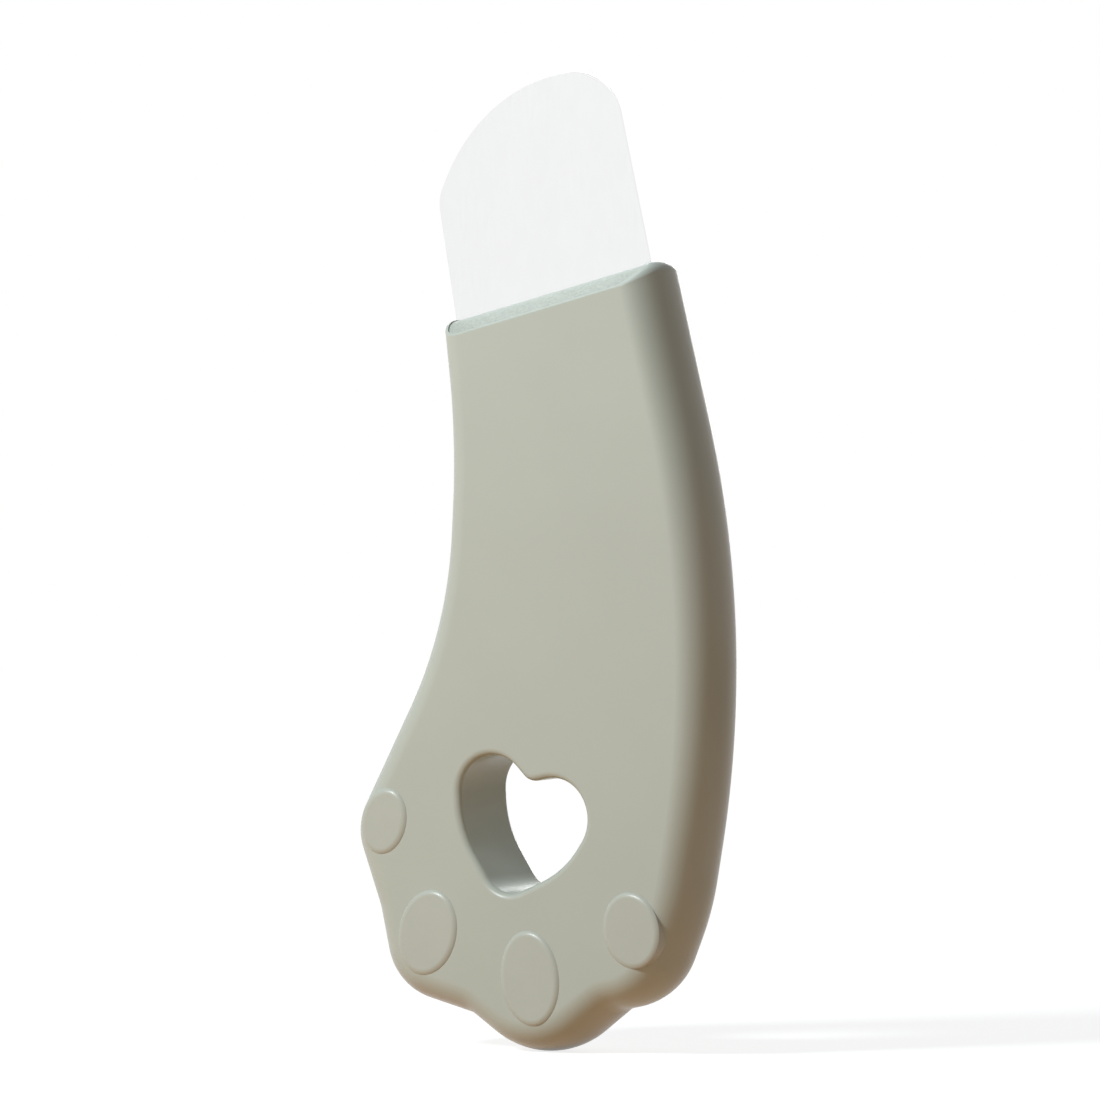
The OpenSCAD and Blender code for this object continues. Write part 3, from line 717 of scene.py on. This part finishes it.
class EXTRACTOR_OT_toe_pads(bpy.types.Operator):
    """Four oval pads with rounded edges, pressed into the front face"""

    bl_idname = "extractor.toe_pads"
    bl_label = "Toe Pads"

    def execute(self, context):
        size = sizes()
        skin = silicone_pad(context.scene.extractor_colours.pad)
        for i, pad in enumerate(PADS, 1):
            surface, top = Surface(), -HALF - size["pad_height"]
            reach = size["pad_round"]
            ring = surface.edge(Oval(*pad), -1, top, size["pad_edge"], PAD_FOOT, steps=12, reach=reach)
            surface.fill([ring])
            surface.make(f"toe_pad_{i}_soft", skin, "pads", "handle", f"toe_pad_{i}")
        return {"FINISHED"}


class EXTRACTOR_OT_end_plug(bpy.types.Operator):
    """Soft domed plug that closes the mouth round the blade"""

    bl_idname = "extractor.end_plug"
    bl_label = "End Plug"

    def execute(self, context):
        size, surface = sizes(), Surface()
        wall, sunk, edge = size["rim_wall"] + 0.03, size["plug_sunk"], 0.1
        inset = wall + edge
        radius = HALF - inset
        slit, slit_end = 0.25, 18.32  # half of the slit's width, and where it ends on the right
        lip, dip = 0.6, 0.22  # how far from the mid-plane the plug starts to dip, and how deep

        def level(across, y):
            """Height of the plug over the end face: it dips into the slit round the blade."""
            within = np.clip((18.5 - across) / 0.15, 0, 1) * np.clip((across + 18.28) / 0.1, 0, 1)
            near = np.clip((lip - np.abs(y)) / (lip - slit), 0, 1)
            return -sunk - dip * within * near**2

        def row(y, fractions):
            """One row of the dome from the left flank to the right one."""
            depth = np.array([drawn_in(inset, math.asin(max(-1, min(1, y / radius))))])
            right, left = (at_mouth(f.line, depth + f.extra, y, -sunk)[0] for f in FLANKS)
            xz = left + fractions[:, None] * (right - left)
            lift = level((xz - MOUTH) @ MOUTH_ALONG, y) + sunk
            return spread(xz + lift[:, None] * MOUTH_UP, y)

        start = math.asin((lip + 0.02) / radius)
        ys = np.concatenate([np.linspace(slit, lip, 8), radius * np.sin(np.linspace(start, QUARTER, 26))])
        # Places along the mouth, closer together by the slit's end
        across = np.concatenate([np.linspace(0, 0.93, 32), np.linspace(0.94, 1, 13)])
        for side in (-1, 1):
            rows = np.array([row(side * y, across) for y in ys])
            normals = np.cross(np.gradient(rows, axis=0), np.gradient(rows, axis=1))
            norms = np.linalg.norm(normals, axis=2, keepdims=True)
            plain = np.repeat(end_normal(side * ys)[:, None], len(across), 1)
            normals = np.where(norms > 1e-6, normals / np.maximum(norms, 1e-6), plain)
            normals *= np.sign((normals * plain).sum(2, keepdims=True))
            surface.grid(rows, normals)
        # The solid strip to the right of the blade, level with the dome
        middle = np.array([row(y, across) for y in np.linspace(-slit, slit, 5)])
        place = (middle[2][:, [0, 2]] - MOUTH) @ MOUTH_ALONG
        strip = middle[:, place > slit_end]
        surface.grid(strip, np.tile(end_normal(np.zeros(1))[0], (5, strip.shape[1], 1)))

        # Rounded edge and straight sides, down to the flat bottom
        phis = np.concatenate([[0], np.arcsin(ys / radius)])
        loop, out = [], []
        steps = [(QUARTER * k / 4, None) for k in range(4, -1, -1)] + [(0, PLUG_DEPTH)]
        for lift, depth in steps:
            k = wall + edge * (1 - math.cos(lift))
            w = -sunk - edge * (1 - math.sin(lift)) if depth is None else -depth
            front, n_front = section(-1, k, w, phis, 1)
            back, n_back = section(1, k, w, phis, 1)
            points, n = np.concatenate([front, back[::-1]]), np.concatenate([n_front, n_back[::-1]])
            loop.append(points)
            out.append(math.cos(lift) * n + math.sin(lift) * end_normal(points[:, 1]))
        surface.grid(loop, out, closed=True)
        down = np.array([-MOUTH_UP[0], 0, -MOUTH_UP[1]])
        surface.fill([(loop[-1], np.tile(down, (len(loop[-1]), 1)))], axes=(0, 1))
        skin = elastomer_plug(context.scene.extractor_colours.plug)
        surface.make("end_plug_grained", skin, "plug", "handle", "end_plug")
        return {"FINISHED"}


class BladeOutline(Belt):
    """Outline of the blade with its tang, which hangs below in the handle."""

    def __init__(self):
        super().__init__(stations(BLADE, 0.5))
        half, root, foot = TANG
        corners = [(-half, root, -1), (-half, foot, 1), (half, foot, 1), (half, root, -1)]
        self.extra = []
        for x, v, turn in corners:
            flat, upright = np.array([0.0, -1.0]), np.array([math.copysign(1, x), 0.0])
            pair = [flat, upright] if (x < 0) == (turn < 0) else [upright, flat]
            self.extra += [(np.array([x, v]), flat + upright, out) for out in pair]
        self.out = np.concatenate([self.out, [out for _, _, out in self.extra]])

    def at(self, inset=0.0):
        tang = [point - inset * both for point, both, _ in self.extra]
        blade = self.centre + (self.radius - inset)[:, None] * self.out[: len(self.centre)]
        return np.concatenate([blade, tang])


class EXTRACTOR_OT_blade(bpy.types.Operator):
    """Thin shovel-shaped steel blade with its tang"""

    bl_idname = "extractor.blade"
    bl_label = "Blade"

    def execute(self, context):
        size, surface = sizes(), Surface()
        half, edge, deburred = size["blade_sheet"] / 2, size["blade_edge"], 0.02
        holes = [Belt(stations([hole], 0.3)) for hole in TANG_HOLES]
        for side in (-1, 1):
            loops = [surface.edge(BladeOutline(), side, side * half, edge, 0, steps=4)]
            loops += [surface.edge(hole, side, side * half, deburred, 0, out=-1, steps=1) for hole in holes]
            face = [(p, np.tile([0.0, side, 0], (len(p), 1))) for p, _ in loops]
            surface.fill(face)

        def lean(points):
            u, v = points[:, 0], points[:, 2]
            x = MOUTH[0] + u * math.cos(LEAN) - v * math.sin(LEAN)
            return np.column_stack([x, points[:, 1], MOUTH[1] + u * math.sin(LEAN) + v * math.cos(LEAN)])

        steel = stainless_sheet(context.scene.extractor_colours.blade)
        surface.make("blade_polished", steel, "blade_steel", "handle", "blade", bend=lean)
        return {"FINISHED"}


class EXTRACTOR_OT_power_button(bpy.types.Operator):
    """Dished power button with its flange, which travels with the switch's plunger"""

    bl_idname = "extractor.power_button"
    bl_label = "Power Button"

    def execute(self, context):
        size, surface = sizes(), Surface()
        low, high = (1000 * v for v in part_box("power_button"))
        middle, top = ((low.x + high.x) / 2, (low.z + high.z) / 2), high.y
        cap = Belt(stations(key_circles(middle, size["button_width"], size["button_length"]), 0.4))
        edge, dish, flange_top = size["button_edge"], size["button_dish"], 4.9
        surface.edge(cap, 1, top, edge, flange_top)
        # The dish deepens smoothly towards the middle, where a small pip tells the thumb that it is there
        reach = size["button_width"] / 2 - edge
        rows, normals = [], []
        for t in np.linspace(0, 1, 15):
            depth = dish * (3 * t**2 - 2 * t**3)
            slope = dish * (6 * t - 6 * t**2) / reach
            rows.append(spread(cap.at(edge + t * (reach - 0.02)), top - depth))
            n = spread(-slope * cap.out, 1.0)
            normals.append(n / np.linalg.norm(n, axis=1)[:, None])
        surface.grid(rows, normals, closed=True)
        surface.fill([(rows[-1], normals[-1])])
        pip, pip_height = Belt(stations([(*middle, 0.75)], 0.15)), 0.28
        surface.fill([surface.edge(pip, 1, top - dish + pip_height, pip_height - 0.01, top - dish - 0.1)])
        flange = Belt(stations(key_circles(middle, high.x - low.x, high.z - low.z), 0.5))
        surface.fill([surface.edge(flange, 1, flange_top, 0.1, low.y)])
        skin = button_abs(context.scene.extractor_colours.button)
        surface.make("power_button_dished", skin, "button", "button", "power_button")
        return {"FINISHED"}


class EXTRACTOR_OT_port_cover(bpy.types.Operator):
    """Soft cover of the charging port, with its tongue and a nail notch"""

    bl_idname = "extractor.port_cover"
    bl_label = "Port Cover"

    def execute(self, context):
        surface = Surface()
        outline = port_outline(0.0, 0.25)
        sunk, edge = 0.05, 0.25
        rows, normals = [], []
        for lift in QUARTER * np.linspace(0, 1, 6):
            y, z = outline.at(edge * (1 - math.cos(lift))).T
            points, out = wrist_point(y, z, sunk + edge * (1 - math.sin(lift)))
            across = np.column_stack([np.zeros(len(y)), outline.out])
            rows.append(points)
            normals.append(math.cos(lift) * across + math.sin(lift) * out)
        low, high = (1000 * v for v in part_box("charge_socket"))
        back_x = low.x - GAP
        deep = rows[0].copy()
        deep[:, 0] = back_x
        surface.grid([deep] + rows, [normals[0]] + normals, closed=True)
        # The face follows the handle's side, and a bean-shaped notch near its foot takes a nail
        face, out = [rows[-1]], [normals[-1]]
        notch_y, notch_z, notch_half, notch_depth = PORT[0], PORT[1] - 3.4, (1.3, 0.55), 0.35
        for inset in np.linspace(edge, 1.9, 12)[1:]:
            y, z = outline.at(inset).T
            off = ((y - notch_y) / notch_half[0]) ** 2 + ((z - notch_z) / notch_half[1]) ** 2
            points, n = wrist_point(y, z, sunk + notch_depth * np.clip(1 - off, 0, 1))
            face.append(points)
            out.append(n)
        surface.grid(face, out, closed=True)
        surface.fill([(face[-1], out[-1])], axes=(2, 1))
        inward = np.tile([1.0, 0, 0], (len(deep), 1))
        surface.fill([(deep, inward)], axes=(2, 1))
        # The tongue that plugs into the socket
        margin, reach, radius = 0.4, 3, 0.3
        corners = corner_circles(low.y + margin, high.y - margin, low.z + margin, high.z - margin, radius)
        tongue = Belt(stations(corners, 0.3))
        rings, ring_normals = [], []
        turns = [QUARTER * k / 4 for k in range(5)]
        for lift, x in [(0, back_x)] + [(t, back_x + reach - radius * (1 - math.sin(t))) for t in turns]:
            yz = tongue.at((radius - 0.01) * (1 - math.cos(lift)))
            rings.append(np.column_stack([np.full(len(yz), x), yz]))
            ahead = np.full(len(yz), math.sin(lift))
            ring_normals.append(np.column_stack([ahead, math.cos(lift) * tongue.out]))
        surface.grid(rings, ring_normals, closed=True)
        surface.fill([(rings[-1], ring_normals[-1])], axes=(1, 2))
        skin = soft_cover(context.scene.extractor_colours.cover)
        surface.make("port_cover_soft", skin, "plug", "port_cover", "port_cover")
        return {"FINISHED"}


class EXTRACTOR_OT_screw_caps(bpy.types.Operator):
    """Six soft caps over the shell screws in the back face"""

    bl_idname = "extractor.screw_caps"
    bl_label = "Screw Caps"

    def execute(self, context):
        surface, sunk, foot = Surface(), 0.02, 5.0
        for x, z in SCREWS:
            cap = Belt(stations([(x, z, CAP_RADIUS)], 0.25))
            surface.fill([surface.edge(cap, 1, HALF - sunk, 0.15, foot)])
        skin = soft_cover(context.scene.extractor_colours.cover)
        surface.make("screw_caps_soft", skin, "plug", "handle", "screw_caps")
        return {"FINISHED"}


class EXTRACTOR_OT_light_guide(bpy.types.Operator):
    """Frosted light guide whose three pins come up flush with the back face"""

    bl_idname = "extractor.light_guide"
    bl_label = "Light Guide"

    def execute(self, context):
        surface = Surface()
        low, high = (1000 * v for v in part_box("light_guide"))
        for x, z in guide_pins():
            pin = Belt(stations([(x, z, PIN_RADIUS)], 0.15))
            surface.fill([surface.edge(pin, 1, HALF, 0.12, low.y)])
        bar = Belt(stations(corner_circles(low.x, high.x, low.z, high.z, 0.4), 0.3))
        bar_top, bar_foot = 5.4, 4.4
        surface.fill([surface.edge(bar, 1, bar_top, 0.1, bar_foot)])
        skin = frosted_acrylic(context.scene.extractor_colours.guide)
        surface.make("light_guide_frosted", skin, "light_guide", "handle", "light_guide")
        return {"FINISHED"}


class EXTRACTOR_OT_inner_parts(bpy.types.Operator):
    """Finishes of the parts inside the handle: clamp, drive, board, battery, wiring and fasteners"""

    bl_idname = "extractor.inner_parts"
    bl_label = "Inner Parts"

    def execute(self, context):
        for name, code, look, nodes in INNER:
            for node in nodes:
                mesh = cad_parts[node].data
                mesh.materials.clear()
                mesh.materials.append(finish(name, linear(code), **look))
        return {"FINISHED"}


class EXTRACTOR_OT_stage(bpy.types.Operator):
    """Pale floor, white surroundings, soft studio lamps and the camera"""

    bl_idname = "extractor.stage"
    bl_label = "Stage"

    def execute(self, context):
        scene = context.scene
        scene.view_settings.view_transform = "Standard"

        # Floor: a disc of pressed paper, matt with faint fibres about 1 mm apart. It shows white and keeps
        # the shadow, and gives back a muted warm light.
        count, reach = 96, 0.75
        turn = TAU * np.arange(count) / count
        rim = [(reach * math.cos(a), reach * math.sin(a), 0) for a in turn]
        mesh = bpy.data.meshes.new("floor")
        mesh.from_pydata([(0, 0, 0)] + rim, [], [(0, 1 + i, 1 + (i + 1) % count) for i in range(count)])
        floor = bpy.data.objects.new("floor", mesh)
        scene.collection.objects.link(floor)
        paper = bpy.data.materials.new("studio_paper")
        paper.use_nodes = True
        tree = paper.node_tree
        tree.nodes.clear()
        place = add(tree, "ShaderNodeTexCoord").outputs["Object"]
        fibre = add(tree, "ShaderNodeTexNoise", {"Vector": place, "Scale": 900.0, "Detail": 2.0})
        pressed = {"Height": fibre.outputs["Fac"], "Strength": 0.2, "Distance": 0.0001}
        bump = add(tree, "ShaderNodeBump", pressed).outputs["Normal"]
        seen = seen_directly(tree)
        given_back = [*scene.extractor_colours.floor, 1]
        warm = add(tree, "ShaderNodeBsdfDiffuse", {"Color": given_back, "Normal": bump})
        pale = add(tree, "ShaderNodeBsdfDiffuse", {"Color": (0.36, 0.36, 0.36, 1), "Normal": bump})
        glow = add(tree, "ShaderNodeEmission", {"Color": (0.8, 0.8, 0.8, 1), "Strength": 1.0})
        white = add(tree, "ShaderNodeAddShader", {0: pale.outputs[0], 1: glow.outputs[0]})
        both = add(tree, "ShaderNodeMixShader", {0: seen, 1: warm.outputs[0], 2: white.outputs[0]})
        add(tree, "ShaderNodeOutputMaterial", {"Surface": both.outputs[0]})
        mesh.materials.append(paper)

        # World: white where it is seen, and a dimmer light on the object
        world = bpy.data.worlds.new("studio")
        scene.world = world
        world.use_nodes = True
        tree = world.node_tree
        tree.nodes.clear()
        seen = seen_directly(tree)
        plain = add(tree, "ShaderNodeBackground", {"Color": (0.21, 0.215, 0.22, 1), "Strength": 1.0})
        white = add(tree, "ShaderNodeBackground", {"Color": (1, 1, 1, 1), "Strength": 1.0})
        both = add(tree, "ShaderNodeMixShader", {0: seen, 1: plain.outputs[0], 2: white.outputs[0]})
        add(tree, "ShaderNodeOutputWorld", {"Surface": both.outputs[0]})

        # Lamps: a key from the upper left, so close that its light falls off, and a broad one from behind
        middle = Vector((-0.002, 0, 0.07))
        for name, way, distance, width, watts, tint in (
            ("key", (-0.33, -0.78, 0.52), 0.60, 0.14, 3.2, (0.93, 1.0, 1.05)),
            ("back", (-0.4, 0.86, 0.22), 1.4, 0.8, 7.5, (1.0, 1.0, 1.0)),
        ):
            lamp = bpy.data.lights.new(name, "AREA")
            lamp.shape, lamp.size, lamp.energy, lamp.color = "DISK", width, watts, tint
            stand = bpy.data.objects.new(name, lamp)
            stand.location = middle + Vector(way).normalized() * distance
            stand.rotation_mode = "QUATERNION"
            stand.rotation_quaternion = (-Vector(way)).to_track_quat("-Z", "Y")
            scene.collection.objects.link(stand)

        # Camera: from the front right and slightly above, with no perspective
        turn, lift = math.radians(VIEW_TURN), math.radians(VIEW_LIFT)
        back = Vector((math.sin(turn) * math.cos(lift), -math.cos(turn) * math.cos(lift), math.sin(lift)))
        lens = bpy.data.cameras.new("camera")
        lens.type, lens.ortho_scale, lens.clip_start, lens.clip_end = "ORTHO", VIEW_WIDTH, 0.01, 10
        camera = bpy.data.objects.new("camera", lens)
        camera.location = Vector(VIEW_MIDDLE) + back * 0.6
        camera.rotation_mode = "QUATERNION"
        camera.rotation_quaternion = (-back).to_track_quat("-Z", "Y")
        scene.collection.objects.link(camera)
        scene.camera = camera
        return {"FINISHED"}


def seen_directly(tree):
    """1 for rays from the camera and for what metal and clear parts show, and otherwise 0."""
    ray = add(tree, "ShaderNodeLightPath").outputs
    seen = ray["Is Camera Ray"]
    for kind in ("Is Glossy Ray", "Is Transmission Ray"):
        seen = add(tree, "ShaderNodeMath", {0: seen, 1: ray[kind]}, operation="MAXIMUM").outputs[0]
    return seen


OPERATORS = (
    EXTRACTOR_OT_front_shell, EXTRACTOR_OT_back_shell, EXTRACTOR_OT_toe_pads, EXTRACTOR_OT_end_plug,
    EXTRACTOR_OT_blade, EXTRACTOR_OT_power_button, EXTRACTOR_OT_port_cover, EXTRACTOR_OT_screw_caps,
    EXTRACTOR_OT_light_guide, EXTRACTOR_OT_inner_parts, EXTRACTOR_OT_stage,
)


class EXTRACTOR_PT_panel(bpy.types.Panel):
    """Sizes, colours and pieces of the blackhead extractor"""

    bl_idname = "EXTRACTOR_PT_panel"
    bl_label = "Blackhead Extractor"
    bl_space_type = "VIEW_3D"
    bl_region_type = "UI"
    bl_category = "Extractor"

    def draw(self, context):
        for group in (context.scene.extractor_sizes, context.scene.extractor_colours):
            box = self.layout.box()
            for key in type(group).__annotations__:
                box.prop(group, key)
        for operator in OPERATORS:
            self.layout.operator(operator.bl_idname)


CLASSES = (ExtractorSizes, ExtractorColours, *OPERATORS, EXTRACTOR_PT_panel)


def register():
    for cls in CLASSES:
        bpy.utils.register_class(cls)
    bpy.types.Scene.extractor_sizes = bpy.props.PointerProperty(type=ExtractorSizes)
    bpy.types.Scene.extractor_colours = bpy.props.PointerProperty(type=ExtractorColours)


def unregister():
    del bpy.types.Scene.extractor_colours
    del bpy.types.Scene.extractor_sizes
    for cls in reversed(CLASSES):
        bpy.utils.unregister_class(cls)


def main():
    register()
    for operator in OPERATORS:
        group, name = operator.bl_idname.split(".")
        getattr(getattr(bpy.ops, group), name)()


if __name__ == "__main__":
    main()
